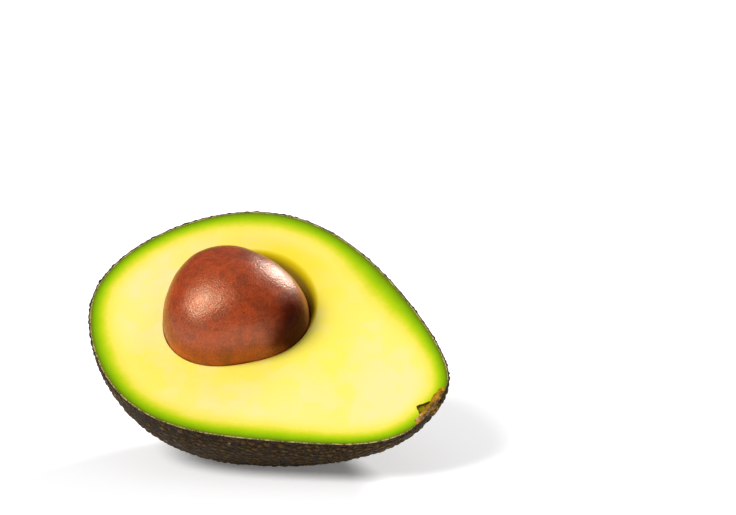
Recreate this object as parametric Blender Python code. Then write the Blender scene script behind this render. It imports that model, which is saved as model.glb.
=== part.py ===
"""Half an avocado, cut lengthwise, with its stone still in place.

Each piece is modelled in the fruit's own frame, in metres: +X runs from the blunt end to the stem end,
the cut face is the plane z = 0, and the rounded back hangs below it. The half then leans back on the
small flat spot that it rests on, and the middle of that spot is the world's origin.
"""
import math

import bmesh
import bpy
from mathutils import Euler, Matrix, Vector, noise

MM = 0.001

# The body of the fruit. The widths on the two sides of its axis, and the depth behind the cut face,
# each follow a sine along the length, made fuller or slimmer by a few cosine terms.
LENGTH = 100.0 * MM
HALF_WIDTH = 35.7 * MM
UPPER_SHAPE = (0.252, -0.121, -0.028)
LOWER_SHAPE = (-0.011, 0.026, -0.092)
DEPTH = 30.0 * MM
DEPTH_SHAPE = (0.189, -0.271)
LEAN = 0.05

# The skin, and the pebbles that cover it, larger here than on the real fruit.
SKIN_THICKNESS = 1.0 * MM
PEBBLE_PITCH = 4.6 * MM
PEBBLE_HEIGHT = 1.0 * MM
PEBBLE_REACH = 0.8
PEBBLE_LEVEL = 0.6
PEBBLE_SEED = Vector((3.7, 11.2, 5.9))

# How the half lies: how far its face looks up, and how it is turned and rolled.
FACE_LOOKS_UP = math.radians(52.0)
TURN = math.radians(-1.3)
ROLL = math.radians(-21.6)
REST_DEPTH = 2.2 * MM

# The stone stands a little proud of the cut, and its cavity is wider on one side.
STONE_CENTRE = Vector((-11.8, 3.3, 0.6)) * MM
STONE_HALF_AXES = Vector((19.3, 18.1, 15.4)) * MM
STONE_LOBES = 0.065
STONE_LOBE_TURN = math.radians(10.0)
STONE_DIMPLE = 0.25 * MM
STONE_DIMPLE_PITCH = 9.0 * MM
CAVITY_MARGIN = 1.1 * MM
CAVITY_SHIFT = Vector((0.6, 0.5, -0.1)) * MM

# The corky button that the stem left: a layer under the skin, and a neck that shows outside.
BUTTON_PLACE = Vector((49.3, -6.2, 0.0)) * MM
BUTTON_OUTWARD = Vector((0.98, -0.19, 0.0))
CORK_RADIUS = 6.6 * MM
CORK_THICKNESS = 1.7 * MM
NECK_RADIUS = 2.6 * MM
NECK_STANDS_PROUD = 0.1 * MM
ROUND_SIDES = 24
PIT_CENTRE = Vector((44.9, -7.2, 0.0)) * MM
PIT_HALF_AXES = Vector((1.6, 2.3, 2.2)) * MM

# The slit of air between pieces that touch.
GAP = 0.3 * MM

# Cells along each edge of the cube that a rounded piece is blown up from. The numbers are odd, so
# that the cut passes through the middle of a row of cells and not along the corners of one.
SKIN_CELLS = 37
LINING_CELLS = 15
FLESH_CELLS = 17
STONE_CELLS = 11
PIT_CELLS = 4

POSE = Euler((math.pi / 2 - FACE_LOOKS_UP, 0.0, TURN)).to_matrix() @ Matrix.Rotation(ROLL, 3, "Z")
DOWN = POSE.transposed() @ Vector((0.0, 0.0, -1.0))


def clear_scene():
    for thing in list(bpy.data.objects):
        bpy.data.objects.remove(thing)


def new_collection(name):
    collection = bpy.data.collections.new(name)
    bpy.context.scene.collection.children.link(collection)
    return collection


def new_material(name, colour, roughness):
    material = bpy.data.materials.new(name)
    material.use_nodes = True
    shader = material.node_tree.nodes["Principled BSDF"]
    shader.inputs["Base Color"].default_value = (*colour, 1.0)
    shader.inputs["Roughness"].default_value = roughness
    shader.inputs["Metallic"].default_value = 0.0
    material.diffuse_color = (*colour, 1.0)
    return material


def ball(cells):
    """A unit ball of even cells, blown up from a divided cube."""
    mesh = bmesh.new()
    bmesh.ops.create_cube(mesh, size=2.0)
    bmesh.ops.subdivide_edges(mesh, edges=mesh.edges[:], cuts=cells - 1, use_grid_fill=True)
    for vertex in mesh.verts:
        bent = Vector(math.tan(part * math.pi / 4) for part in vertex.co)
        vertex.co = bent.normalized()
    return mesh


def fullness(axial, shape):
    """The cosine terms at one place: axial is 1 at the blunt end and -1 at the stem end."""
    angle = math.acos(max(-1.0, min(1.0, axial)))
    return 1.0 + sum(term * math.cos((order + 1) * angle) for order, term in enumerate(shape))


def body_point(unit):
    """Where a direction on the unit ball meets the smooth outside of the fruit."""
    axial = -unit.x
    ring = math.hypot(unit.y, unit.z)
    upper = fullness(axial, UPPER_SHAPE)
    lower = fullness(axial, LOWER_SHAPE)
    side = unit.y / ring if ring > 1e-6 else 0.0
    return Vector((
        -LENGTH / 2 * axial,
        HALF_WIDTH * ((upper - lower) / 2 * ring + (upper + lower) / 2 * unit.y),
        DEPTH * fullness(axial, DEPTH_SHAPE) * unit.z * (1.0 + LEAN * side),
    ))


def pebble(point):
    """How far a pebble lifts the skin: a round cap over each cell of an uneven pattern."""
    distances, _ = noise.voronoi(point / PEBBLE_PITCH + PEBBLE_SEED)
    cap = max(0.0, 1.0 - (distances[0] / PEBBLE_REACH) ** 2)
    return PEBBLE_HEIGHT * (cap - PEBBLE_LEVEL)


def body(cells, inset, pebbled=False):
    """The fruit's outline as a closed mesh, shrunk by the inset and flat where it rests."""
    mesh = ball(cells)
    for vertex in mesh.verts:
        vertex.co = body_point(vertex.co)
    mesh.normal_update()
    moved = []
    for vertex in mesh.verts:
        lift = pebble(vertex.co) if pebbled else 0.0
        moved.append(vertex.co + vertex.normal * (lift - inset))
    for vertex, place in zip(mesh.verts, moved):
        sunk = max(0.0, place.dot(DOWN) - (rest_level() - inset))
        vertex.co = place - DOWN * sunk
    return mesh


def body_low_point():
    """The lowest point of the smooth fruit as it lies, found along the underside."""
    steps = 240
    low = None
    for i in range(1, steps):
        for j in range(1, steps):
            along = math.pi * i / steps
            round_back = math.pi * j / steps
            unit = Vector((
                -math.cos(along),
                math.sin(along) * math.cos(round_back),
                -math.sin(along) * math.sin(round_back),
            ))
            place = body_point(unit)
            if low is None or place.dot(DOWN) > low.dot(DOWN):
                low = place
    return low


LOW_POINT = body_low_point()


def rest_level():
    """Distance from the middle of the fruit down to the surface that it rests on."""
    return LOW_POINT.dot(DOWN) - REST_DEPTH


def cut_face(mesh):
    """Take away all above the cut and close the body with one flat face."""
    geometry = mesh.verts[:] + mesh.edges[:] + mesh.faces[:]
    cut = bmesh.ops.bisect_plane(
        mesh, geom=geometry, dist=1e-6, plane_co=(0, 0, 0), plane_no=(0, 0, 1), clear_outer=True)
    rim = [item for item in cut["geom_cut"] if isinstance(item, bmesh.types.BMEdge)]
    bmesh.ops.edgeloop_fill(mesh, edges=rim)
    bmesh.ops.recalc_face_normals(mesh, faces=mesh.faces[:])
    return mesh


def new_object(name, mesh, collection, pose, material=None):
    """Turn a finished mesh into an object that lies with the rest of the fruit."""
    data = bpy.data.meshes.new(name)
    mesh.to_mesh(data)
    mesh.free()
    thing = bpy.data.objects.new(name, data)
    collection.objects.link(thing)
    thing.parent = pose
    thing.rotation_euler = (0.0, 0.0, ROLL)
    if material:
        data.materials.append(material)
        data.shade_smooth()
        data.set_sharp_from_angle(angle=math.radians(40))
    else:
        thing.hide_render = True
        thing.display_type = "WIRE"
    return thing


def combine(thing, other, operation):
    """Cut, join or intersect a piece with another one, which goes on being changed by its own steps."""
    modifier = thing.modifiers.new(other.name, "BOOLEAN")
    modifier.operation = operation
    modifier.solver = "EXACT"
    modifier.object = other


def stone_mesh(margin, shift):
    """The stone, a little three-sided seen from the cut, or the cavity that holds it."""
    mesh = ball(STONE_CELLS)
    for vertex in mesh.verts:
        unit = vertex.co.copy()
        place = STONE_HALF_AXES * unit
        turn = math.atan2(place.y, place.x) - STONE_LOBE_TURN
        lobe = 1.0 + STONE_LOBES * math.cos(3 * turn) * (unit.x ** 2 + unit.y ** 2)
        place.x *= lobe
        place.y *= lobe
        dimple = noise.noise(place / STONE_DIMPLE_PITCH + PEBBLE_SEED)
        vertex.co = place + unit * (STONE_DIMPLE * dimple + margin)
    bmesh.ops.translate(mesh, vec=STONE_CENTRE + shift, verts=mesh.verts[:])
    return mesh


def stem_post(radius, depth, proud):
    """A round post through the skin at the stem end, from a depth inside to a little outside."""
    outward = BUTTON_OUTWARD.normalized()
    mesh = bmesh.new()
    bmesh.ops.create_cone(
        mesh, cap_ends=True, segments=ROUND_SIDES, radius1=radius, radius2=radius, depth=depth + proud)
    middle = BUTTON_PLACE + outward * (proud - depth) / 2
    turn = outward.to_track_quat("Z", "Y").to_matrix().to_4x4()
    bmesh.ops.transform(mesh, matrix=Matrix.Translation(middle) @ turn, verts=mesh.verts[:])
    return mesh


def pit_mesh():
    """The small dark pit in the flesh next to the button."""
    mesh = ball(PIT_CELLS)
    for vertex in mesh.verts:
        vertex.co = PIT_CENTRE + PIT_HALF_AXES * vertex.co
    return mesh


def build():
    clear_scene()
    fruit = new_collection("avocado_half")
    cutters = new_collection("cutters")
    pose = bpy.data.objects.new("pose", None)
    fruit.objects.link(pose)
    pose.rotation_euler = (math.pi / 2 - FACE_LOOKS_UP, 0.0, TURN)
    pose.location = -(POSE @ (LOW_POINT - DOWN * REST_DEPTH))

    peel = new_material("peel", (0.030, 0.020, 0.016), 0.42)
    pulp = new_material("pulp", (0.86, 0.80, 0.26), 0.45)
    seed = new_material("seed", (0.25, 0.075, 0.028), 0.40)
    cork = new_material("cork", (0.24, 0.12, 0.035), 0.75)

    # The skin is the pebbled outside less a smooth lining, with a hole for the button's neck.
    cork_inset = SKIN_THICKNESS + GAP
    skin = new_object("skin", cut_face(body(SKIN_CELLS, 0.0, pebbled=True)), fruit, pose, peel)
    lining = new_object("lining", body(LINING_CELLS, SKIN_THICKNESS), cutters, pose)
    neck_hole = stem_post(NECK_RADIUS + GAP, CORK_RADIUS, CORK_RADIUS)
    combine(skin, lining, "DIFFERENCE")
    combine(skin, new_object("neck_hole", neck_hole, cutters, pose), "DIFFERENCE")

    # The button's cork is a round patch of the layer next to the skin, with the neck joined to it.
    button = new_object("stem_button", cut_face(body(FLESH_CELLS, cork_inset)), fruit, pose, cork)
    cork_round = stem_post(CORK_RADIUS, 2 * CORK_RADIUS, CORK_RADIUS)
    cork_back = body(FLESH_CELLS, cork_inset + CORK_THICKNESS)
    neck = cut_face(stem_post(NECK_RADIUS, cork_inset + CORK_THICKNESS / 2, NECK_STANDS_PROUD))
    combine(button, new_object("cork_round", cork_round, cutters, pose), "INTERSECT")
    combine(button, new_object("cork_back", cork_back, cutters, pose), "DIFFERENCE")
    combine(button, new_object("neck", neck, cutters, pose), "UNION")

    # The flesh fills the skin, and has the stone's cavity, the cork's seat and the pit cut into it.
    flesh = new_object("flesh", cut_face(body(FLESH_CELLS, cork_inset)), fruit, pose, pulp)
    cavity = stone_mesh(CAVITY_MARGIN, CAVITY_SHIFT)
    seat = new_object("cork_seat", stem_post(CORK_RADIUS + GAP, 2 * CORK_RADIUS, CORK_RADIUS), cutters, pose)
    seat_back = body(FLESH_CELLS, cork_inset + CORK_THICKNESS + GAP)
    combine(seat, new_object("seat_back", seat_back, cutters, pose), "DIFFERENCE")
    combine(flesh, new_object("stone_cavity", cavity, cutters, pose), "DIFFERENCE")
    combine(flesh, seat, "DIFFERENCE")
    combine(flesh, new_object("stem_pit", pit_mesh(), cutters, pose), "DIFFERENCE")

    new_object("stone", stone_mesh(0.0, Vector()), fruit, pose, seed)


build()
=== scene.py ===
# %% [markdown]
# # Half an avocado, with its stone
# This lesson dresses a plain solid model of a cut fruit until it looks like the real one. The
# solids fix the size and the place of everything. Here they are swapped, one by one, for finer
# pieces that fill the same space: a pebbled skin, moist flesh, a brown stone and the corky mark
# of the stem. All lengths are in metres, and +Z is up.

# %% Load the solid model
import math

import bmesh
import bpy
import numpy as np
from mathutils import Matrix, Vector, kdtree


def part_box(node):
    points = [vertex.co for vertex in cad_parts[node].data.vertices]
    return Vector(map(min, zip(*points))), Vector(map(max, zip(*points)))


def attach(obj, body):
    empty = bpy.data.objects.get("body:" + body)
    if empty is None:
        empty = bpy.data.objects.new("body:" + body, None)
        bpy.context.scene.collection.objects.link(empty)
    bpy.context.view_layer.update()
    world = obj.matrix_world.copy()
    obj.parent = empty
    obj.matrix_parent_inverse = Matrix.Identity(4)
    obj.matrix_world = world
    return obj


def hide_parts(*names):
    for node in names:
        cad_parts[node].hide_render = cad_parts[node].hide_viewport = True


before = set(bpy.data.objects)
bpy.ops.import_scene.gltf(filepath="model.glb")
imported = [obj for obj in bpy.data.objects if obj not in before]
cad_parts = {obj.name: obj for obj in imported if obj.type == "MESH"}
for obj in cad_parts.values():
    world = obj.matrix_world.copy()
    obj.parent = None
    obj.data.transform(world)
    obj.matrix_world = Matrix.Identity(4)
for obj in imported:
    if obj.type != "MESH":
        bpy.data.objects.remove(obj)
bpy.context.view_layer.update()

MM = 0.001

# %% [markdown]
# ## The shape of the fruit
# Seen from its cut face, an avocado is an egg with a slimmer stem end. One could draw that
# outline with a spline, but a short formula is easier to share between pieces: a sine along the
# length, made fuller or slimmer by a few cosine terms, once for each side and once for the depth.
# Every layer of the fruit then comes from the same formula, only shrunk a little more.

# %% Driving dimensions
LENGTH = 100.0 * MM
HALF_WIDTH = 35.7 * MM
UPPER_SHAPE = (0.252, -0.121, -0.028)
LOWER_SHAPE = (-0.011, 0.026, -0.092)
DEPTH = 30.0 * MM
DEPTH_SHAPE = (0.189, -0.271)
LEAN = 0.05
REST_DEPTH = 2.2 * MM

FACE_LOOKS_UP = math.radians(52.0)
TURN = math.radians(-1.3)
ROLL = math.radians(-21.6)


def fullness(axial, terms):
    """The cosine terms: axial is 1 at the blunt end and -1 at the stem end."""
    angle = np.arccos(np.clip(axial, -1.0, 1.0))
    return 1.0 + sum(term * np.cos((order + 1) * angle) for order, term in enumerate(terms))


def body_points(unit):
    """Places on the smooth outside of the fruit, for directions on the unit ball."""
    axial = -unit[:, 0]
    ring = np.hypot(unit[:, 1], unit[:, 2])
    upper = fullness(axial, UPPER_SHAPE)
    lower = fullness(axial, LOWER_SHAPE)
    across = (upper - lower) / 2 * ring + (upper + lower) / 2 * unit[:, 1]
    side = unit[:, 1] / np.maximum(ring, 1e-9)
    down = fullness(axial, DEPTH_SHAPE) * unit[:, 2] * (1.0 + LEAN * side)
    return np.stack([-LENGTH / 2 * axial, HALF_WIDTH * across, DEPTH * down], axis=1)


# %% [markdown]
# Each layer is the outside moved inward along its normals. The normals come from the formula too:
# the surface is sampled a hair to each side of a point, and the two differences are crossed.

# %% Layers under the surface
def unit_rows(rows):
    return rows / np.linalg.norm(rows, axis=1, keepdims=True)


def slope(unit, step):
    """How far the smooth outside goes from one side of each direction to the other."""
    return body_points(unit_rows(unit + step)) - body_points(unit_rows(unit - step))


def body_normals(unit):
    """Outward normals of the smooth fruit at directions on the unit ball."""
    hair = 1e-4
    helper = np.where(np.abs(unit[:, 2:3]) < 0.7, (0.0, 0.0, 1.0), (0.0, 1.0, 0.0))
    first = unit_rows(np.cross(unit, helper))
    second = np.cross(unit, first)
    normal = unit_rows(np.cross(slope(unit, hair * first), slope(unit, hair * second)))
    return normal * np.sign((normal * body_points(unit)).sum(axis=1, keepdims=True))


def layer(unit, inset):
    """Places on the layer that lies an inset under the skin."""
    return body_points(unit) - body_normals(unit) * np.reshape(inset, (-1, 1))


def around_rim(turn):
    """Directions in the plane of the cut, at these turns."""
    return np.stack([np.cos(turn), np.sin(turn), 0 * turn], axis=1)


# %% [markdown]
# ## How it lies
# The half leans back on a small flat spot, so that its cut face looks up and towards us. The
# pieces are modelled lying face up, which keeps the cut at z = 0, and are tilted into place at
# the very end.

# %% Pose of the half
POSE_TURN = (
    Matrix.Rotation(TURN, 3, "Z")
    @ Matrix.Rotation(math.pi / 2 - FACE_LOOKS_UP, 3, "X")
    @ Matrix.Rotation(ROLL, 3, "Z"))
DOWN = np.array(POSE_TURN.transposed() @ Vector((0.0, 0.0, -1.0)))
POSE_STEPS = 240


def lowest_point():
    """The lowest point of the smooth fruit as it lies."""
    steps = np.pi * np.arange(1, POSE_STEPS) / POSE_STEPS
    along, round_back = (grid.ravel() for grid in np.meshgrid(steps, steps, indexing="ij"))
    unit = np.stack([
        -np.cos(along),
        np.sin(along) * np.cos(round_back),
        -np.sin(along) * np.sin(round_back)], axis=1)
    places = body_points(unit)
    return places[np.argmax(places @ DOWN)]


LOW_POINT = lowest_point()
REST_LEVEL = float(LOW_POINT @ DOWN) - REST_DEPTH
FACE_CENTRE = -(POSE_TURN @ Vector(LOW_POINT - DOWN * REST_DEPTH))
POSE = Matrix.Translation(FACE_CENTRE) @ POSE_TURN.to_4x4()
print("middle of the cut face, mm:", [round(part / MM, 2) for part in FACE_CENTRE])


def press_flat(places, inset):
    """Push up whatever would sink below the surface that the fruit rests on."""
    sunk = np.maximum(0.0, places @ DOWN - (REST_LEVEL - np.reshape(inset, (-1,))))
    return places - sunk[:, None] * DOWN


# %% [markdown]
# ## A ball of even cells
# A UV sphere bunches its faces at the poles, and pebbles raised on it would shrink there. A cube
# that is divided and blown up has cells of nearly the same size everywhere, so the layers start
# from that.

# %% Helpers that make meshes
ROUGH_WAVES = 14
ROUGH_PACE = 2.2
ROUGH_PEAK = 1.6


def ball(cells):
    """A unit ball, as a bmesh, with this many cells along each edge of its cube."""
    mesh = bmesh.new()
    bmesh.ops.create_cube(mesh, size=2.0)
    bmesh.ops.subdivide_edges(mesh, edges=mesh.edges[:], cuts=cells - 1, use_grid_fill=True)
    places = np.array([vertex.co for vertex in mesh.verts])
    move_to(mesh, unit_rows(np.tan(places * math.pi / 4)))
    return mesh


def move_to(mesh, places):
    for vertex, place in zip(mesh.verts, places):
        vertex.co = place


def layer_ball(cells, inset):
    """A closed layer of the fruit, flat where it rests."""
    mesh = ball(cells)
    unit = np.array([vertex.co for vertex in mesh.verts])
    move_to(mesh, press_flat(layer(unit, inset), inset))
    bmesh.ops.recalc_face_normals(mesh, faces=mesh.faces[:])
    return mesh


def cut_face(mesh, height=0.0, cap=True):
    """Take away all above the cut, and close the body with one flat face, of material slot 1."""
    geometry = mesh.verts[:] + mesh.edges[:] + mesh.faces[:]
    cut = bmesh.ops.bisect_plane(
        mesh, geom=geometry, dist=1e-7, clear_outer=True,
        plane_co=(0, 0, height), plane_no=(0, 0, 1))
    if cap:
        rim = [item for item in cut["geom_cut"] if isinstance(item, bmesh.types.BMEdge)]
        for face in bmesh.ops.edgeloop_fill(mesh, edges=rim)["faces"]:
            face.material_index = 1
        bmesh.ops.recalc_face_normals(mesh, faces=mesh.faces[:])
    return mesh


def new_object(name, mesh):
    """An object from a bmesh, which is used up."""
    data = bpy.data.meshes.new(name)
    mesh.to_mesh(data)
    mesh.free()
    thing = bpy.data.objects.new(name, data)
    bpy.context.scene.collection.objects.link(thing)
    return thing


def evaluated(thing):
    """The object with its modifiers made real, as plain mesh data."""
    bpy.context.view_layer.update()
    graph = bpy.context.evaluated_depsgraph_get()
    data = bpy.data.meshes.new_from_object(thing.evaluated_get(graph))
    thing.modifiers.clear()
    old = thing.data
    thing.data = data
    bpy.data.meshes.remove(old)
    return thing


def cut_away(thing, mesh):
    """Take the space of a closed mesh out of a piece."""
    cutter = new_object("cutter", mesh)
    modifier = thing.modifiers.new("cut", "BOOLEAN")
    modifier.operation = "DIFFERENCE"
    modifier.solver = "MANIFOLD"
    modifier.object = cutter
    evaluated(thing)
    bpy.data.objects.remove(cutter)
    while len(thing.data.materials) and thing.data.materials[-1] is None:
        thing.data.materials.pop()


def distance_to(places, targets):
    """How far each place is from the nearest of the targets."""
    tree = kdtree.KDTree(len(targets))
    for index, target in enumerate(targets):
        tree.insert(target, index)
    tree.balance()
    return np.array([tree.find(place)[2] for place in places])


def rough(places, size, seed):
    """A smooth random value from -1 to 1 at each place: a sum of waves in seeded directions."""
    draw = np.random.default_rng(seed)
    total = np.zeros(len(places))
    for wave in range(ROUGH_WAVES):
        direction = draw.normal(size=3) / size
        total += np.sin(places @ direction * ROUGH_PACE + draw.uniform(0, 2 * np.pi))
    return total / ROUGH_WAVES ** 0.5 / ROUGH_PEAK


def store(thing, name, values):
    """Keep one number for each vertex, for a material to read."""
    thing.data.attributes.new(name, "FLOAT", "POINT").data.foreach_set("value", values)


# %% [markdown]
# ## Materials: small helpers
# A node tree reads more like a recipe when each node is made by one call that also plugs in its
# inputs.

# %% Helpers for node trees
LIGHT_LEVEL = 1.18


def plug(node, inputs):
    """Fill inputs of a node: a socket is linked, and anything else is set as a constant."""
    for key, value in inputs.items():
        if isinstance(value, bpy.types.NodeSocket):
            node.id_data.links.new(value, node.inputs[key])
        else:
            node.inputs[key].default_value = value


def add(tree, kind, inputs=None, **settings):
    """A new node: settings are its own options, inputs are values or sockets to plug in."""
    made = tree.nodes.new(kind)
    for name, value in settings.items():
        setattr(made, name, value)
    plug(made, inputs or {})
    return made


def maths(tree, operation, *values):
    """One step of arithmetic on numbers."""
    return add(tree, "ShaderNodeMath", dict(enumerate(values)), operation=operation).outputs[0]


def vectors(tree, operation, inputs):
    """One step of arithmetic on vectors that gives a vector."""
    return add(tree, "ShaderNodeVectorMath", inputs, operation=operation).outputs[0]


def stored(tree, name):
    """A number that was stored on the mesh."""
    return add(tree, "ShaderNodeAttribute", attribute_name=name).outputs["Fac"]


def ramp(tree, factor, stops):
    """A colour ramp through (position, colour) stops."""
    made = add(tree, "ShaderNodeValToRGB", {"Fac": factor})
    while len(made.color_ramp.elements) < len(stops):
        made.color_ramp.elements.new(0.5)
    for element, (position, colour) in zip(made.color_ramp.elements, stops):
        element.position = position
        element.color = colour
    return made.outputs["Color"]


def blend(tree, factor, first, second):
    """Two colours mixed by a factor."""
    made = add(tree, "ShaderNodeMix", {0: factor, 6: first, 7: second}, data_type="RGBA")
    return made.outputs[2]


def spread(tree, value, low, high, new_low=0.0, new_high=1.0, smooth=True):
    """A value mapped from one range to another, and held at its ends."""
    return add(tree, "ShaderNodeMapRange", {
        "Value": value, "From Min": low, "From Max": high, "To Min": new_low, "To Max": new_high},
        interpolation_type="SMOOTHSTEP" if smooth else "LINEAR").outputs["Result"]


def new_material(name):
    """A material with its tree, and its Principled shader."""
    material = bpy.data.materials.new(name)
    material.use_nodes = True
    return material, material.node_tree, material.node_tree.nodes["Principled BSDF"]


def srgb(red, green, blue):
    """A colour as it should look on the screen when lit, made linear and freed of the light."""
    linear = (((part / 255 + 0.055) / 1.055) ** 2.4 for part in (red, green, blue))
    return (*(part / LIGHT_LEVEL for part in linear), 1.0)


# %% [markdown]
# ## Two shared effects
# Living surfaces are never one even colour. A soft mottle, made of a broad noise with a finer one
# over it, is used by every material here, and so is a fine grain that only bends the light. Both
# are node groups, built once, and each material sets its own scale and strength.

# %% The mottle group
def begin_effect(name, inputs, output, output_type):
    """A shader group with named number inputs and one output, and a frequency from its size."""
    tree = bpy.data.node_groups.new(name, "ShaderNodeTree")
    for title, value in inputs.items():
        socket = tree.interface.new_socket(title, in_out="INPUT", socket_type="NodeSocketFloat")
        socket.default_value = value
    tree.interface.new_socket(output, in_out="OUTPUT", socket_type=output_type)
    given = add(tree, "NodeGroupInput").outputs
    place = add(tree, "ShaderNodeTexCoord").outputs["Object"]
    return tree, given, place, maths(tree, "DIVIDE", 1.0, given["Size"])


def build_mottle():
    tree, given, place, frequency = begin_effect(
        "soft_mottle", {"Size": 0.01, "Fine": 0.35, "Stretch": 0.0, "Seed": 0.0},
        "Mask", "NodeSocketFloat")
    broad = add(tree, "ShaderNodeTexNoise", {
        "Vector": place, "W": given["Seed"], "Scale": frequency, "Detail": 2.0,
        "Distortion": given["Stretch"]}, noise_dimensions="4D").outputs["Fac"]
    fine = add(tree, "ShaderNodeTexNoise", {
        "Vector": place, "W": given["Seed"], "Scale": maths(tree, "MULTIPLY", frequency, 4.7),
        "Detail": 4.0, "Roughness": 0.62}, noise_dimensions="4D").outputs["Fac"]
    both = add(tree, "ShaderNodeMix", {0: given["Fine"], 2: broad, 3: fine}).outputs[0]
    add(tree, "NodeGroupOutput", {"Mask": spread(tree, both, 0.33, 0.67)})
    return tree


MOTTLE = build_mottle()


def mottle(tree, size, seed, fine=0.35, stretch=0.0):
    """Places the mottle group, and returns its mask."""
    return add(tree, "ShaderNodeGroup", {
        "Size": size, "Fine": fine, "Stretch": stretch, "Seed": seed},
        node_tree=MOTTLE).outputs["Mask"]


# %% The grain group
def build_grain():
    tree, given, place, frequency = begin_effect(
        "fine_grain", {"Size": 0.0006, "Height": 0.00003, "Strength": 0.5},
        "Normal", "NodeSocketVector")
    noise = add(tree, "ShaderNodeTexNoise", {
        "Vector": place, "Scale": frequency, "Detail": 3.0, "Roughness": 0.6}).outputs["Fac"]
    bump = add(tree, "ShaderNodeBump", {
        "Height": noise, "Distance": given["Height"], "Strength": given["Strength"]})
    add(tree, "NodeGroupOutput", {"Normal": bump.outputs["Normal"]})
    return tree


GRAIN = build_grain()


def grain(tree, size, height, strength):
    """Places the grain group, and returns its bent normal."""
    return add(tree, "ShaderNodeGroup", {
        "Size": size, "Height": height, "Strength": strength}, node_tree=GRAIN).outputs["Normal"]


print("shared effects:", MOTTLE.name, GRAIN.name)

# %% [markdown]
# ## Skin: what the real one is
# The peel is a dark leathery shell less than a millimetre thick. Its outside is covered with low
# round pebbles, about two millimetres across, packed close with narrow grooves between them. They
# could be a bump map, but on the outline of the fruit a bump map shows smooth, so they are real
# relief here. Pebbles follow a rule, so Geometry Nodes raise them: the coarse layer is divided
# finely, a Voronoi pattern gives each point its distance to the nearest groove, and that distance
# becomes a height.

# %% Dimensions of the skin
SKIN_THICKNESS = 0.85 * MM
SKIN_INSET = 0.30 * MM
SKIN_CELLS = 42
SKIN_LEVELS = 2
LINING_CELLS = 41
PEBBLE_PITCH = 1.75 * MM
PEBBLE_HEIGHT = 0.45 * MM
PEBBLE_GROOVE = 0.34
PEBBLE_WOBBLE = 0.55


# %% [markdown]
# ## Relief: what two trees share
# The pebbles here and the stone's dents later are both relief: the mesh is divided finely, each
# point gets a height, and it moves that far along its normal. A modifier for each would do, but
# the first and last steps are the same, so they are written once, and each tree adds its pattern.

# %% Helpers for relief
def begin_relief(name, sizes):
    """A tree with named inputs, which first divides the mesh finely."""
    tree = bpy.data.node_groups.new(name, "GeometryNodeTree")
    face = tree.interface
    face.new_socket("Geometry", in_out="INPUT", socket_type="NodeSocketGeometry")
    face.new_socket("Levels", in_out="INPUT", socket_type="NodeSocketInt")
    for size in sizes:
        face.new_socket(size, in_out="INPUT", socket_type="NodeSocketFloat")
    face.new_socket("Material", in_out="INPUT", socket_type="NodeSocketMaterial")
    face.new_socket("Geometry", in_out="OUTPUT", socket_type="NodeSocketGeometry")
    given = add(tree, "NodeGroupInput").outputs
    fine = add(tree, "GeometryNodeSubdivisionSurface", {
        "Mesh": given["Geometry"], "Level": given["Levels"]}).outputs["Mesh"]
    place = add(tree, "GeometryNodeInputPosition").outputs[0]
    return tree, given, fine, place


def finish_relief(tree, given, fine, lift):
    """Raise each point along its normal, set the material, and end the tree."""
    normal = add(tree, "GeometryNodeInputNormal").outputs[0]
    raised = add(tree, "GeometryNodeSetPosition", {
        "Geometry": fine, "Offset": vectors(tree, "SCALE", {0: normal, "Scale": lift})})
    real = add(tree, "GeometryNodeRealizeInstances", {"Geometry": raised.outputs[0]})
    dressed = add(tree, "GeometryNodeSetMaterial", {
        "Geometry": real.outputs[0], "Material": given["Material"]})
    add(tree, "NodeGroupOutput", {"Geometry": dressed.outputs[0]})
    return tree


# %% The pebble tree
def build_pebbles():
    """Round domes with grooves between them, some lower than others."""
    tree, given, fine, place = begin_relief(
        "pebbled_peel", ("Pitch", "Height", "Groove", "Wobble"))
    counted = vectors(tree, "DIVIDE", {0: place, 1: given["Pitch"]})
    warp = add(tree, "ShaderNodeTexNoise", {
        "Vector": counted, "Scale": 0.45, "Detail": 1.0}).outputs["Color"]
    centred = vectors(tree, "SUBTRACT", {0: warp, 1: (0.5, 0.5, 0.5)})
    scaled = vectors(tree, "SCALE", {0: centred, "Scale": given["Wobble"]})
    bent = vectors(tree, "ADD", {0: counted, 1: scaled})
    edge = add(tree, "ShaderNodeTexVoronoi", {
        "Vector": bent, "Scale": 1.0}, feature="DISTANCE_TO_EDGE").outputs["Distance"]
    middle = add(tree, "ShaderNodeTexVoronoi", {"Vector": bent, "Scale": 1.0})
    plateau = add(tree, "ShaderNodeMapRange", {
        "Value": edge, "From Max": given["Groove"]}, interpolation_type="SMOOTHERSTEP").outputs[0]
    dome = spread(tree, middle.outputs["Distance"], 0.0, 0.85, 1.0, 0.45, smooth=False)
    lumps = add(tree, "ShaderNodeTexNoise", {"Vector": counted, "Scale": 0.8}).outputs["Fac"]
    uneven = spread(tree, lumps, 0.25, 0.7, 0.6, 1.0, smooth=False)
    pebble = maths(tree, "MULTIPLY", maths(tree, "MULTIPLY", plateau, dome), uneven)
    kept = add(tree, "GeometryNodeStoreNamedAttribute", {
        "Geometry": fine, "Name": "pebble", "Value": pebble}, domain="POINT").outputs[0]
    return finish_relief(tree, given, kept, maths(tree, "MULTIPLY", pebble, given["Height"]))


PEBBLES = build_pebbles()


def run_nodes(thing, tree, **values):
    """Give an object a node tree, set its named inputs by their identifiers, and make it real."""
    thing.data.materials.append(values["Material"])
    modifier = thing.modifiers.new(tree.name, "NODES")
    modifier.node_group = tree
    for socket in tree.interface.items_tree:
        if socket.item_type == "SOCKET" and socket.in_out == "INPUT" and socket.name in values:
            modifier[socket.identifier] = values[socket.name]
    return evaluated(thing)


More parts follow.
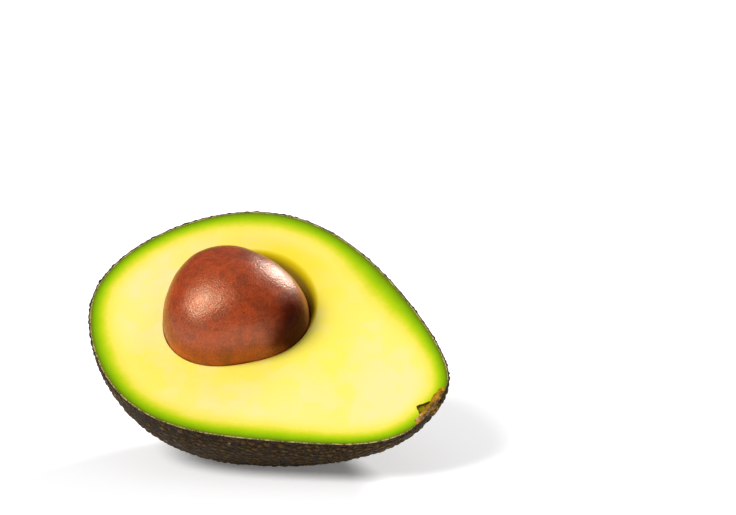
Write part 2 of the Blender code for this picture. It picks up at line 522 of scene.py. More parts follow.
# %% [markdown]
# ## Skin: its finish
# The colour follows the relief: the grooves are painted shade, nearly black, and the pebbles are
# a warm dark brown, with patches that still look olive. Small flecks break that up: the lighter
# ones are partly painted glints and the darker ones partly painted shade, over the skin's own
# speckle, and a few pale dots are the skin's own. The rim that the knife left is another tissue,
# so it gets a material of its own, a fibrous tan.

# %% Skin materials
def peel_material():
    material, tree, shader = new_material("peel")
    pebble = stored(tree, "pebble")
    # Painted shade: the grooves between the pebbles are coloured nearly black.
    groove_shade = srgb(12, 7, 2)
    top = blend(tree, mottle(tree, 9 * MM, seed=1.0), srgb(64, 41, 15), srgb(82, 69, 11))
    warm = blend(tree, mottle(tree, 2.5 * MM, fine=0.6, seed=4.0), top, srgb(92, 64, 26))
    colour = blend(tree, spread(tree, pebble, 0.08, 0.70), groove_shade, warm)
    # Flecks: the lighter ones are partly painted glints on the pebbles and the darker ones partly
    # painted shade, over the skin's own speckle.
    glint_and_shade_flecks = mottle(tree, 0.9 * MM, fine=0.8, stretch=2.0, seed=9.0)
    colour = blend(tree, spread(tree, glint_and_shade_flecks, 0.55, 0.85, 0.0, 0.5), colour, srgb(128, 100, 66))
    colour = blend(tree, spread(tree, glint_and_shade_flecks, 0.15, 0.45, 0.7, 0.0), colour, srgb(12, 7, 2))
    speck = add(tree, "ShaderNodeTexVoronoi", {
        "Vector": add(tree, "ShaderNodeTexCoord").outputs["Object"], "Scale": 1 / (3.4 * MM)})
    dot = spread(tree, speck.outputs["Distance"], 0.08, 0.15, 0.7, 0.0)
    colour = blend(tree, dot, colour, srgb(146, 118, 66))
    satin = spread(tree, mottle(tree, 2 * MM, fine=0.6, seed=2.0), 0.0, 1.0, 0.46, 0.62)
    plug(shader, {
        "Base Color": colour, "Roughness": satin, "Normal": grain(tree, 0.45 * MM, 0.06 * MM, 0.6),
        "IOR": 1.3, "Specular IOR Level": 0.15, "Specular Tint": (1.0, 0.80, 0.50, 1.0)})
    return material


def peel_cut_material():
    material, tree, shader = new_material("peel_cut")
    fibres = spread(tree, mottle(tree, 1.1 * MM, fine=0.7, seed=7.0), 0.35, 0.70)
    tan = blend(tree, fibres, srgb(84, 66, 20), srgb(204, 186, 120))
    depth = stored(tree, "rim_depth")
    colour = blend(tree, spread(tree, depth, 0.22, 0.42), srgb(46, 31, 14), tan)
    plug(shader, {
        "Base Color": colour, "Roughness": 0.6, "Specular IOR Level": 0.2,
        "Normal": grain(tree, 0.3 * MM, 0.05 * MM, 0.6)})
    return material


PEEL = peel_material()
PEEL_CUT = peel_cut_material()

# %% [markdown]
# ## Skin: making it
# The coarse layer is trimmed a little above the cut before the pebbles are raised, so that they
# run right through it. The knife comes after them, as on the real fruit, and leaves an uneven
# rim. The inside is then hollowed with a smooth lining, and a round hole is made where the stem
# sat.

# %% Make the skin
STEM_PLACE = Vector((49.3, -6.2, 0.0)) * MM
STEM_OUTWARD = Vector((0.98, -0.19, 0.0)).normalized()
NECK_RADIUS = 2.3 * MM
NECK_REACH = 7.0 * MM
PLAIN_RIM_MM = 7.0
ABOVE_CUT = 3.0 * MM


def stem_post():
    """A round post at the stem end, as long inside the fruit as outside."""
    mesh = bmesh.new()
    bmesh.ops.create_cone(
        mesh, cap_ends=True, segments=48, depth=2 * NECK_REACH,
        radius1=NECK_RADIUS, radius2=NECK_RADIUS)
    turn = STEM_OUTWARD.to_track_quat("Z", "Y").to_matrix().to_4x4()
    bmesh.ops.transform(mesh, matrix=Matrix.Translation(STEM_PLACE) @ turn, verts=mesh.verts[:])
    return mesh


def measure_rim(skin):
    """Store 0 at the outside of the rim, and near the stem, and up to 1 at the lining."""
    places = np.array([vertex.co for vertex in skin.data.vertices])
    lining = layer(around_rim(np.linspace(-np.pi, np.pi, 4000)), SKIN_THICKNESS)
    away = distance_to(places, lining)
    depth = np.clip(1.0 - away / (SKIN_THICKNESS - SKIN_INSET), 0.0, 1.0)
    from_stem = np.linalg.norm(places - np.array(STEM_PLACE), axis=1)
    store(skin, "rim_depth", depth * np.clip(from_stem / MM - PLAIN_RIM_MM, 0.0, 1.0))


def make_skin():
    coarse = cut_face(layer_ball(SKIN_CELLS, SKIN_INSET), height=ABOVE_CUT, cap=False)
    skin = new_object("pebbled_skin", coarse)
    run_nodes(
        skin, PEBBLES, Levels=SKIN_LEVELS, Pitch=PEBBLE_PITCH, Height=PEBBLE_HEIGHT,
        Groove=PEBBLE_GROOVE, Wobble=PEBBLE_WOBBLE, Material=PEEL)
    shell = bmesh.new()
    shell.from_mesh(skin.data)
    places = np.array([vertex.co for vertex in shell.verts])
    move_to(shell, press_flat(places, 0.0))
    cut_face(shell)
    shell.to_mesh(skin.data)
    shell.free()
    skin.data.materials.append(PEEL_CUT)
    cut_away(skin, layer_ball(LINING_CELLS, SKIN_THICKNESS))
    cut_away(skin, stem_post())
    measure_rim(skin)
    return skin


skin = make_skin()
print("skin:", len(skin.data.polygons), "faces,", [slot.name for slot in skin.data.materials])

# %% [markdown]
# ## Stone: its shape
# The stone is a blunt egg that stands proud of the cut, and seen from above it is a little
# three-sided. An icosphere with a sculpt would do, but its cavity needs the same outline, so it
# is a formula too: a stretched ball whose outline has three soft lobes.

# %% Formula of the stone
STONE_CENTRE = np.array([-11.8, 3.3, 0.6]) * MM
STONE_HALF_AXES = np.array([19.3, 18.1, 15.4]) * MM
STONE_LOBES = 0.065
STONE_LOBE_TURN = math.radians(10.0)
STONE_CELLS = 40
STONE_LEVELS = 1
# Painted shade: a dark patch on the stone's right side, where it is turned away from the light.
SHADE_PATCH_CENTRE = np.array([9.8, 0.6, 5.9]) * MM
SHADE_PATCH_REACH = (4.0 * MM, 13.0 * MM)
SHADE_PATCH_BEND = 5.0 * MM


def stone_points(unit):
    """Places on the smooth stone, measured from its centre."""
    places = unit * STONE_HALF_AXES
    turn = np.arctan2(places[:, 1], places[:, 0]) - STONE_LOBE_TURN
    lobe = 1.0 + STONE_LOBES * np.cos(3 * turn) * (unit[:, 0] ** 2 + unit[:, 1] ** 2)
    places[:, :2] *= lobe[:, None]
    return places


def stone_radius(azimuth, slant):
    """The stone's reach from its upright axis: slant is 1 at its middle and 0 at a pole."""
    slim = np.hypot(np.cos(azimuth) / STONE_HALF_AXES[0], np.sin(azimuth) / STONE_HALF_AXES[1])
    lobe = 1.0 + STONE_LOBES * np.cos(3 * (azimuth - STONE_LOBE_TURN)) * slant ** 2
    return slant / slim * lobe


# %% [markdown]
# ## Stone: its surface
# A dry brown coat covers it, with shallow dents, faint wrinkles and fine pores. The dents are
# relief, raised and lowered by a second small node tree. The colour is a red-brown mottle with
# darker pores. A dark patch on its right side is painted shade, and it has less sheen there.

# %% The dent tree
def build_dents():
    """Broad shallow dents with finer wrinkles over them."""
    tree, given, fine, place = begin_relief(
        "dented_coat", ("Dent Size", "Dent Depth", "Wrinkle Size", "Wrinkle Depth"))
    parts = []
    for name, detail in (("Dent", 1.0), ("Wrinkle", 3.0)):
        noise = add(tree, "ShaderNodeTexNoise", {
            "Vector": vectors(tree, "DIVIDE", {0: place, 1: given[name + " Size"]}),
            "Scale": 1.0, "Detail": detail}).outputs["Fac"]
        centred = maths(tree, "SUBTRACT", noise, 0.5)
        parts.append(maths(tree, "MULTIPLY", centred, given[name + " Depth"]))
    return finish_relief(tree, given, fine, maths(tree, "ADD", *parts))


DENTS = build_dents()


# %% The stone's finish
def stone_material():
    material, tree, shader = new_material("stone_coat")
    broad = mottle(tree, 8 * MM, fine=0.3, stretch=0.6, seed=11.0)
    colour = blend(tree, broad, srgb(112, 20, 0), srgb(164, 48, 0))
    blotch = mottle(tree, 1.8 * MM, fine=0.7, stretch=0.8, seed=13.0)
    colour = blend(tree, spread(tree, blotch, 0.2, 1.0, 0.0, 0.6), colour, srgb(182, 66, 0))
    shadowy = mottle(tree, 5 * MM, fine=0.2, stretch=1.2, seed=15.0)
    colour = blend(tree, spread(tree, shadowy, 0.45, 1.0, 0.0, 0.5), colour, srgb(92, 14, 0))
    place = add(tree, "ShaderNodeTexCoord").outputs["Object"]
    pores = add(tree, "ShaderNodeTexNoise", {
        "Vector": place, "Scale": 1 / (0.7 * MM), "Detail": 2.0}).outputs["Fac"]
    colour = blend(tree, spread(tree, pores, 0.54, 0.72, 0.0, 0.45), colour, srgb(84, 22, 6))
    specks = mottle(tree, 0.5 * MM, fine=0.8, seed=19.0)
    colour = blend(tree, spread(tree, specks, 0.5, 1.0, 0.0, 0.45), colour, srgb(216, 110, 30))
    # Painted shade: a dark patch on the stone's right side, which also lowers the sheen there.
    bend = add(tree, "ShaderNodeTexNoise", {"Vector": place, "Scale": 1 / SHADE_PATCH_BEND})
    bent = vectors(tree, "MULTIPLY_ADD", {0: bend.outputs["Color"], 1: [SHADE_PATCH_BEND] * 3, 2: place})
    centre = POSE @ Vector(SHADE_PATCH_CENTRE) + Vector([SHADE_PATCH_BEND / 2] * 3)
    away = add(tree, "ShaderNodeVectorMath", {0: bent, 1: centre}, operation="DISTANCE")
    shade_patch = spread(tree, away.outputs["Value"], *SHADE_PATCH_REACH, 0.93, 0.0)
    colour = blend(tree, shade_patch, colour, srgb(40, 2, 0))
    satin = spread(tree, mottle(tree, 1.5 * MM, fine=0.7, seed=17.0), 0.0, 1.0, 0.27, 0.39)
    plug(shader, {
        "Base Color": colour, "Roughness": satin, "Normal": grain(tree, 0.45 * MM, 0.10 * MM, 1.0),
        "Specular IOR Level": spread(tree, shade_patch, 0.0, 0.9, 1.0, 0.08),
        "Specular Tint": (1.0, 0.70, 0.44, 1.0)})
    return material


def make_stone():
    mesh = ball(STONE_CELLS)
    unit = np.array([vertex.co for vertex in mesh.verts])
    move_to(mesh, stone_points(unit) + STONE_CENTRE)
    stone = new_object("brown_stone", mesh)
    return run_nodes(stone, DENTS, Levels=STONE_LEVELS, Material=stone_material(), **{
        "Dent Size": 9 * MM, "Dent Depth": 0.5 * MM,
        "Wrinkle Size": 2.5 * MM, "Wrinkle Depth": 0.12 * MM})


stone = make_stone()
print("stone:", len(stone.data.polygons), "faces")

# %% [markdown]
# ## Flesh: its shape
# The flesh is one soft body: a flat cut face, the stone's cavity with a rounded lip, and a back
# that lies against the skin. Cutting a ball with the stone's shape would leave a hard lip and
# long thin faces, so it is lofted instead. The loft runs in rings round the stone: up the wall of
# the cavity, over the lip, out across the face, and down the back, with the same number of points
# in each ring. On one side the cavity is a little wider than the stone, and there the lip is
# softer too.

# %% Dimensions of the flesh
FLESH_COLUMNS = 400
CAVITY_ROWS = 34
LIP_ROWS = 8
FACE_ROWS = 80
BACK_ROWS = 26
TIGHT_GAP = 0.05 * MM
WIDE_GAP = 1.6 * MM
TIGHT_LIP = 0.2 * MM
WIDE_LIP = 4.5 * MM
WIDE_LIP_DEPTH = 2.0 * MM
WIDE_SIDE = math.radians(72.0)
CAVITY_DEEPER = 0.30 * MM
HOLLOW_SHADE_REACH = (0.4 * MM, 7.0 * MM)
FACE_RELIEF = 0.10 * MM
FACE_WAVE = 5.0 * MM


def wide_side(azimuth):
    """1 on the side where the cavity is wider than the stone, fading to 0 on the other side."""
    return np.clip(np.cos(azimuth - WIDE_SIDE), 0.0, 1.0) ** 3


def rim_directions(azimuth):
    """Directions whose place on the cut's rim lies at these azimuths from the stone."""
    turn = np.linspace(-np.pi, np.pi, 7201)
    rim = layer(around_rim(turn), SKIN_THICKNESS)
    seen = np.unwrap(np.arctan2(rim[:, 1] - STONE_CENTRE[1], rim[:, 0] - STONE_CENTRE[0]))
    return around_rim(np.interp(azimuth, seen, turn, period=2 * np.pi))


# %% Rings of the loft
def cavity_rings(azimuth):
    """From the bottom of the cavity to the start of its lip, then over the lip to the face."""
    side = wide_side(azimuth)
    gap = TIGHT_GAP + (WIDE_GAP - TIGHT_GAP) * side
    lip = TIGHT_LIP + (WIDE_LIP - TIGHT_LIP) * side
    drop = TIGHT_LIP + (WIDE_LIP_DEPTH - TIGHT_LIP) * side
    deep = STONE_HALF_AXES[2] + CAVITY_DEEPER
    top = np.arccos((STONE_CENTRE[2] + drop) / deep)
    rings = []
    for row in range(1, CAVITY_ROWS + 1):
        slant = top * row / CAVITY_ROWS
        reach = stone_radius(azimuth, np.sin(slant)) + gap * np.sin(slant)
        rings.append((reach, STONE_CENTRE[2] - deep * np.cos(slant)))
    wall = rings[-1][0]
    for row in range(1, LIP_ROWS + 1):
        bend = math.pi / 2 * row / LIP_ROWS
        rings.append((wall + lip * (1 - math.cos(bend)), -drop + drop * math.sin(bend)))
    return [np.stack([
        STONE_CENTRE[0] + reach * np.cos(azimuth),
        STONE_CENTRE[1] + reach * np.sin(azimuth), height], axis=1) for reach, height in rings]


def face_rings(lip, rim):
    """Across the cut face, from the lip to the rim, with the slight waves of a knife cut."""
    rings = []
    for row in range(1, FACE_ROWS):
        ring = lip + (rim - lip) * row / FACE_ROWS
        fade = min(1.0, 8.0 * row / FACE_ROWS, 12.0 * (FACE_ROWS - row) / FACE_ROWS)
        waves = np.clip(rough(ring, FACE_WAVE, 3), -1, 1)
        ring[:, 2] -= FACE_RELIEF * fade * (0.5 + 0.5 * waves)
        rings.append(ring)
    return rings


def back_rings(directions):
    """From the rim down the back of the flesh to its lowest point."""
    rings = []
    for row in range(BACK_ROWS):
        dive = math.pi / 2 * row / BACK_ROWS
        unit = directions * math.cos(dive) + np.array([0.0, 0.0, -math.sin(dive)])
        rings.append(press_flat(layer(unit, SKIN_THICKNESS), SKIN_THICKNESS))
    return rings


# %% Loft the flesh
def loft(rings, first_pole, last_pole):
    """A closed body from rings of points and a pole at each end."""
    mesh = bmesh.new()
    rows = [[mesh.verts.new(place) for place in ring] for ring in rings]
    columns = len(rows[0])
    for low, high in zip(rows, rows[1:]):
        for i in range(columns):
            j = (i + 1) % columns
            mesh.faces.new((low[i], low[j], high[j], high[i]))
    for pole, row in ((first_pole, rows[0]), (last_pole, rows[-1])):
        tip = mesh.verts.new(pole)
        for i in range(columns):
            mesh.faces.new((row[i], row[(i + 1) % columns], tip))
    bmesh.ops.recalc_face_normals(mesh, faces=mesh.faces[:])
    return mesh


def make_flesh():
    azimuth = np.linspace(-np.pi, np.pi, FLESH_COLUMNS, endpoint=False)
    cavity = cavity_rings(azimuth)
    directions = rim_directions(azimuth)
    back = back_rings(directions)
    face = face_rings(cavity[-1], back[0])
    bottom = STONE_CENTRE - np.array([0.0, 0.0, STONE_HALF_AXES[2] + CAVITY_DEEPER])
    under = press_flat(layer(np.array([[0.0, 0.0, -1.0]]), SKIN_THICKNESS), SKIN_THICKNESS)[0]
    return new_object("green_flesh", loft(cavity + face + back, bottom, under))


flesh = make_flesh()
print("flesh:", len(flesh.data.polygons), "faces")

# %% [markdown]
# ## Stem end: the cork
# Where the stem let go, the fruit healed with a layer of rough cork just under the skin. The cut
# shows it as a brown band, with a small dark pit in the flesh next to it. The cork is a lens that
# follows the curve of the fruit, thin at its edge, with a mound in the middle that fills the hole
# in the skin.

# %% Dimensions of the cork
CORK_SIDE = -0.140
CORK_HALF_SPREAD = (0.190, 0.40)
CORK_THICKNESS = 1.9 * MM
CORK_RINGS = 26
CORK_COLUMNS = 96
CORK_ROUGH = 0.32 * MM
CORK_OVERLAP = 0.06 * MM
CORK_MOUND = 0.80 * MM
CORK_MOUND_REACH = 0.42
CORK_MOUND_SLOPE = 0.12
CORK_LUMP = 1.2 * MM
PIT_CENTRE = np.array([46.3, -6.9, 0.0]) * MM
TORN_END = np.array([45.7, -10.1, 0.0]) * MM
PIT_WALLS = (
    ((-0.70, 0.72, 0.25), 1.45),
    ((-0.79, -0.61, 0.2), 1.60),
    ((1.0, 0.1, 0.0), 2.3),
    ((0.3, -0.95, 0.0), 2.9),
    ((0.0, 0.0, -1.0), 0.8),
    ((0.0, 0.0, 1.0), 1.0))
PIT_ROUGH = 0.16 * MM
PIT_LUMP = 0.7 * MM
PIT_CELLS = 30


def cork_directions(reach, azimuth):
    side = CORK_SIDE + CORK_HALF_SPREAD[0] * reach * np.cos(azimuth)
    down = CORK_HALF_SPREAD[1] * reach * np.sin(azimuth)
    return np.stack([np.sqrt(1.0 - side ** 2 - down ** 2), side, down], axis=1)


def make_cork():
    azimuth = np.linspace(0, 2 * np.pi, CORK_COLUMNS, endpoint=False)
    rings = []
    for row in range(1, 2 * CORK_RINGS):
        across = row / CORK_RINGS
        inner = across > 1.0
        reach = 2.0 - across if inner else across
        unit = cork_directions(np.full(CORK_COLUMNS, reach), azimuth)
        mound = CORK_MOUND * np.clip((CORK_MOUND_REACH - reach) / CORK_MOUND_SLOPE, 0.0, 1.0)
        thick = CORK_THICKNESS * max(0.05, 1.0 - reach ** 4) ** 0.5
        inset = SKIN_THICKNESS + (thick if inner else -CORK_OVERLAP - mound)
        places = layer(unit, inset)
        jitter = CORK_ROUGH * rough(places, CORK_LUMP, 5) * (1.0 if inner else 0.0)
        rings.append(places + body_normals(unit) * jitter[:, None])
    centre = cork_directions(np.zeros(1), np.zeros(1))
    outer = layer(centre, SKIN_THICKNESS - CORK_OVERLAP - CORK_MOUND)[0]
    inner = layer(centre, SKIN_THICKNESS + CORK_THICKNESS)[0]
    return new_object("stem_cork", cut_face(loft(rings, outer, inner)))


def make_pit():
    """A torn pit: a ball blown up against a few flat walls, then made rough."""
    mesh = ball(PIT_CELLS)
    unit = np.array([vertex.co for vertex in mesh.verts])
    facing = unit_rows(np.array([facing for facing, away in PIT_WALLS]))
    away = np.array([away for facing, away in PIT_WALLS]) * MM
    reach = 1.0 / (unit @ facing.T / away).max(axis=1)
    places = PIT_CENTRE + unit * reach[:, None]
    move_to(mesh, places + unit * (PIT_ROUGH * rough(places, PIT_LUMP, 8))[:, None])
    return mesh


cork = make_cork()
print("cork:", len(cork.data.polygons), "faces")


# %% [markdown]
# The cork's own shape is cut out of the flesh, and then the pit. After that each point of the
# flesh is told how far it is from the skin, how far into the hollow beside the stone it lies,
# where shade is painted, and whether it is in a deeper yellow or a paler patch, the deeper yellow
# being partly painted shade. A last number marks the faces of the pit. The material needs no more
# than these to know how green, how yellow, how shaded or how dark the flesh is there.

# %% What the measures are made of
BACK_CELLS = 25
BACK_BELOW = 2.0 * MM
RIM_TURNS = 3000
PIT_NEAR = 4.5 * MM
PIT_UPWARD = 0.85
PIT_BELOW = 0.6 * MM
TORN_FADE_MM = (0.7, 2.5)
DEEP_FADE_MM = (4.0, 21.0)
LOWER_FADE_MM = (3.0, 12.0)
LOWER_SIDE = math.radians(-55.0)
LOWER_DEEP = 0.35
BAND_SIZE = 40.0 * MM
BAND_SEED = 11251
BAND_PACE = 0.93
BAND_CHANGE = 0.47
BAND_LIMITS = (0.6, 1.4)
PATCH_SIZE = 24.0 * MM
PATCH_SEED = 4657
PATCH_CHANGE = 0.55
HOLLOW_SHADE_EDGE = 3.0


# %% Seat the cork and measure the flesh
def copy_mesh(thing):
    mesh = bmesh.new()
    mesh.from_mesh(thing.data)
    return mesh


def mark_pit():
    """Store 1 on the pit's own faces, so that its edge stays sharp."""
    middles = np.array([face.center for face in flesh.data.polygons])
    upward = np.array([face.normal.z for face in flesh.data.polygons])
    near = np.linalg.norm(middles - PIT_CENTRE, axis=1) < PIT_NEAR
    torn = near & ((upward < PIT_UPWARD) | (middles[:, 2] < -PIT_BELOW))
    flesh.data.attributes.new("pit", "FLOAT", "FACE").data.foreach_set("value", torn.astype(float))


def fade(distance, near, far):
    """1 up to a near distance, in mm, and 0 past a far one."""
    return 1.0 - np.clip((distance / MM - near) / (far - near), 0.0, 1.0)


def measure_flesh():
    cut_away(flesh, copy_mesh(cork))
    cut_away(flesh, make_pit())
    places = np.array([vertex.co for vertex in flesh.data.vertices])
    shell = layer_ball(BACK_CELLS, 0.0)
    back = np.array([vertex.co for vertex in shell.verts if vertex.co.z < -BACK_BELOW])
    shell.free()
    turns = np.linspace(-np.pi, np.pi, RIM_TURNS)
    outside = np.concatenate([body_points(around_rim(turns)), back])
    store(flesh, "to_skin", distance_to(places, outside))
    cork_places = np.array([vertex.co for vertex in cork.data.vertices])
    grids = np.meshgrid(np.linspace(0, 1.3, 60), turns[::20])
    end = cork_directions(*(grid.ravel() for grid in grids))
    store(cork, "to_skin", distance_to(cork_places, body_points(end)))
    store(cork, "torn_end", fade(np.linalg.norm(cork_places - TORN_END, axis=1), *TORN_FADE_MM))
    away = places - STONE_CENTRE
    azimuth = np.arctan2(away[:, 1], away[:, 0])
    side = wide_side(azimuth)
    from_stone = np.hypot(away[:, 0], away[:, 1]) - stone_radius(azimuth, 1.0)
    # Painted shade in the hollow: 1 right beside the stone, reaching furthest on the wide side.
    hollow_shade = 1.0 - np.clip(from_stone / (HOLLOW_SHADE_REACH[0] + HOLLOW_SHADE_REACH[1] * side), 0.0, 1.0)
    # Deeper yellow near the stone: partly the flesh's own colour, partly painted shade on the wide
    # side, where the stone's shadow falls.
    lower = LOWER_DEEP * np.clip(np.cos(azimuth - LOWER_SIDE), 0.0, 1.0)
    deep = side * fade(from_stone, *DEEP_FADE_MM) + lower * fade(from_stone, *LOWER_FADE_MM)
    band = BAND_PACE + BAND_CHANGE * rough(places, BAND_SIZE, BAND_SEED)
    pale = 0.5 + PATCH_CHANGE * rough(places, PATCH_SIZE, PATCH_SEED)
    store(flesh, "deep", np.clip(deep, 0.0, 1.0))
    store(flesh, "band_pace", np.clip(band, *BAND_LIMITS))
    store(flesh, "pale", np.clip(pale, 0.0, 1.0))
    store(flesh, "hollow_shade", hollow_shade * np.minimum(1.0, HOLLOW_SHADE_EDGE * side))
    mark_pit()


measure_flesh()
print("flesh after the cork:", len(flesh.data.polygons), "faces")


# %% [markdown]
# ## Flesh: its finish
# From the skin inward the flesh goes from a saturated green through yellow-green to a pale butter
# yellow, and it is a deeper yellow again close to the stone, partly painted shade on the side
# where the stone's shadow falls. A ramp over the distance to the skin gives that band. A slow
# seeded wave makes it wider in some places than in others, and a mottle frays its edge. Right
# beside the stone, in the hollow, a darker olive is painted shade. A little light goes into the
# flesh before it comes out, which is what makes it look soft and moist.

# %% Flesh material
def flesh_material():
    material, tree, shader = new_material("flesh")
    to_skin = stored(tree, "to_skin")
    pace = stored(tree, "band_pace")
    ragged = mottle(tree, 6 * MM, fine=0.4, seed=21.0)
    unsteady = spread(tree, ragged, 0.0, 1.0, 0.92, 1.08, smooth=False)
    under = maths(tree, "SUBTRACT", to_skin, SKIN_THICKNESS)
    depth = maths(tree, "MULTIPLY", under, maths(tree, "MULTIPLY", pace, unsteady))
    factor = spread(tree, depth, 0.0, 12.0 * MM, smooth=False)
    band = ramp(tree, factor, (
        (0.00, srgb(98, 112, 0)),
        (0.06, srgb(126, 167, 0)),
        (0.14, srgb(154, 196, 0)),
        (0.22, srgb(192, 212, 16)),
        (0.30, srgb(225, 224, 52)),
        (0.38, srgb(246, 232, 86)),
        (0.55, srgb(254, 237, 106)),
        (1.00, srgb(255, 240, 136))))
    # Deeper yellow near the stone, partly the flesh's own colour and partly painted shade where
    # the stone's shadow falls.
    shade = stored(tree, "deep")
    patches = stored(tree, "pale")
    cloudy = spread(tree, mottle(tree, 7 * MM, fine=0.1, seed=23.0), 0.2, 0.8, -0.25, 0.25)
    patches = maths(tree, "ADD", patches, cloudy)
    pale = blend(tree, patches, srgb(255, 240, 106), srgb(255, 237, 157))
    deep = blend(tree, shade, pale, srgb(254, 228, 22))
    colour = blend(tree, spread(tree, depth, 4.0 * MM, 10.0 * MM), band, deep)
    # Painted shade: a darker olive in the hollow right beside the stone.
    hollow_shade = stored(tree, "hollow_shade")
    colour = blend(tree, spread(tree, hollow_shade, 0.0, 0.25), colour, srgb(218, 190, 0))
    colour = blend(tree, spread(tree, hollow_shade, 0.15, 0.55), colour, srgb(134, 104, 0))
    # A darker olive on the pit's faces.
    torn = mottle(tree, 0.8 * MM, fine=0.5, stretch=1.5, seed=27.0)
    pit_olive = blend(tree, torn, srgb(86, 78, 4), srgb(176, 154, 30))
    pit = stored(tree, "pit")
    colour = blend(tree, pit, colour, pit_olive)
    satin = spread(tree, mottle(tree, 4 * MM, fine=0.5, seed=25.0), 0.0, 1.0, 0.38, 0.55)
    plug(shader, {
        "Base Color": colour, "Roughness": satin, "Normal": grain(tree, 0.9 * MM, 0.04 * MM, 0.35),
        "Specular IOR Level": 0.06, "Subsurface Weight": 0.12,
        "Subsurface Radius": (1.0, 0.75, 0.25), "Subsurface Scale": 1.2 * MM})
    return material


def cork_material():
    material, tree, shader = new_material("stem_cork")
    fibres = mottle(tree, 1.2 * MM, fine=0.5, seed=31.0)
    inner = blend(tree, fibres, srgb(120, 80, 0), srgb(206, 146, 10))
    outer = blend(tree, fibres, srgb(46, 30, 8), srgb(88, 66, 20))
    depth = stored(tree, "to_skin")
    uneven = mottle(tree, 2.0 * MM, seed=35.0)
    wander = spread(tree, uneven, 0.0, 1.0, -0.5 * MM, 0.5 * MM, smooth=False)
    inward = maths(tree, "ADD", depth, wander)
    colour = blend(tree, spread(tree, inward, 0.8 * MM, 1.7 * MM), outer, inner)
    light = spread(tree, mottle(tree, 0.9 * MM, fine=0.6, seed=33.0), 0.6, 1.0, 0.0, 0.8)
    colour = blend(tree, light, colour, srgb(212, 156, 60))
    end = stored(tree, "torn_end")
    shreds = spread(tree, mottle(tree, 0.8 * MM, fine=0.5, seed=37.0), 0.42, 0.58)
    colour = blend(tree, maths(tree, "MULTIPLY", end, shreds), colour, srgb(228, 186, 142))
    plug(shader, {
        "Base Color": colour, "Roughness": 0.75, "Specular IOR Level": 0.1,
        "Normal": grain(tree, 0.35 * MM, 0.12 * MM, 0.9)})
    return material


for piece, finish in ((flesh, flesh_material()), (cork, cork_material())):
    piece.data.materials.clear()
    piece.data.materials.append(finish)
print("finishes:", sorted(material.name for material in bpy.data.materials if material.users))

# %% [markdown]
# ## Everything in its place
# The pieces lie face up until now. Their meshes are turned into place, not their objects, so that
# each object stays at the origin. Then each piece is tied to the solid model: it rides on its
# body and stands for its solid.

# %% Place the pieces
PIECES = (
    (skin, "skin", "skin"),
    (flesh, "flesh", "flesh"),
    (stone, "stone", "stone"),
    (cork, "stem_button", "cork"))

for piece, node, slot_name in PIECES:
    piece.data.transform(POSE)
    piece.data.shade_smooth()
    piece.data.set_sharp_from_angle(angle=math.radians(60))
    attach(piece, "root")
    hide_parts(node)
    low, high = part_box(node)
    places = np.array([vertex.co for vertex in piece.data.vertices])
    over = max((places.max(0) - np.array(high)).max(), (np.array(low) - places.min(0)).max())
    print(piece.name, "reaches past its solid's box by", round(float(over) / MM, 2), "mm")

# %% [markdown]
# ## Floor, light and camera
# The fruit stands on a plain pale floor. Two far lights with wide soft discs light it: one from
# the front left shapes the stone and the skin, and one from behind on the right draws a bright
# edge on the stone. Far lights reach the whole floor evenly, so the background stays white. The
# dome around them is dim, because a bright one would lay a milky veil on the dark skin and the
# stone. The floor glows a little of its own, which softens the shadows as a lit sheet of studio
# paper does.

# %% Floor
def make_floor():
    bpy.ops.mesh.primitive_plane_add(size=12.0)
    floor = bpy.context.object
    floor.name = "floor"
    material, tree, shader = new_material("floor_paper")
    paper = mottle(tree, 0.4, seed=41.0)
    tint = blend(tree, paper, (0.93, 0.93, 0.93, 1.0), (0.95, 0.95, 0.95, 1.0))
    plug(shader, {
        "Base Color": tint, "Roughness": 0.9,
        "Emission Color": (1.0, 1.0, 1.0, 1.0), "Emission Strength": 0.16})
    floor.data.materials.append(material)


make_floor()


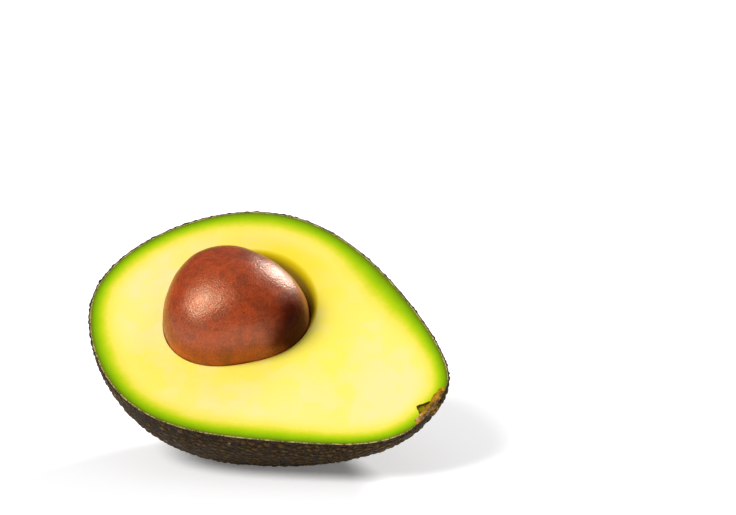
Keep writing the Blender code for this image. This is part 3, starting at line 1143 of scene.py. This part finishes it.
# %% Lights
def soft_sun(name, toward, strength, spread_degrees):
    """A far light with a wide soft disc; toward points from the fruit to the light."""
    data = bpy.data.lights.new(name, "SUN")
    data.energy = strength
    data.angle = math.radians(spread_degrees)
    light = bpy.data.objects.new(name, data)
    bpy.context.scene.collection.objects.link(light)
    light.rotation_mode = "QUATERNION"
    light.rotation_quaternion = Vector(toward).to_track_quat("Z", "Y")


soft_sun("left", (-0.50, -0.40, 0.54), 3.2, 30.0)
soft_sun("back_right", (0.38, 0.50, 0.44), 2.7, 20.0)


# %% Dome
WALL_GLOW = 0.15
FRONT_GLOW = -0.06
TOP_GLOW = 0.24


def make_world():
    """A dim studio dome: a little brighter overhead and towards the front."""
    world = bpy.data.worlds.new("studio")
    bpy.context.scene.world = world
    world.use_nodes = True
    tree = world.node_tree
    direction = add(tree, "ShaderNodeTexCoord").outputs["Generated"]
    parts = add(tree, "ShaderNodeSeparateXYZ", {0: direction}).outputs
    square = maths(tree, "POWER", maths(tree, "MAXIMUM", parts["Z"], 0.0), 2.0)
    walls = maths(tree, "MULTIPLY_ADD", parts["Y"], FRONT_GLOW, WALL_GLOW)
    plug(tree.nodes["Background"], {
        "Strength": maths(tree, "MULTIPLY_ADD", square, TOP_GLOW, walls),
        "Color": (1.0, 1.0, 1.0, 1.0)})


make_world()
bpy.context.scene.view_settings.view_transform = "Standard"

# %% [markdown]
# The camera has a long lens, so the fruit shows little perspective. It stands nearly half a metre
# off and looks down by about ten degrees. The fruit is left and low in the picture only because
# of where the camera is aimed; the lens isn't shifted.

# %% Camera
CAMERA_FROM_FACE = Vector((26.0, -441.8, 102.4)) * MM
LOOK_DOWN = math.radians(10.5)
LENS_MM = 85.0
SENSOR_MM = 36.0

lens = bpy.data.cameras.new("camera")
lens.lens = LENS_MM
lens.sensor_width = SENSOR_MM
lens.clip_start = 0.01
camera = bpy.data.objects.new("camera", lens)
bpy.context.scene.collection.objects.link(camera)
camera.location = FACE_CENTRE + CAMERA_FROM_FACE
camera.rotation_euler = (math.pi / 2 - LOOK_DOWN, 0.0, 0.0)
bpy.context.scene.camera = camera
print("camera, mm:", [round(part / MM, 1) for part in camera.location])
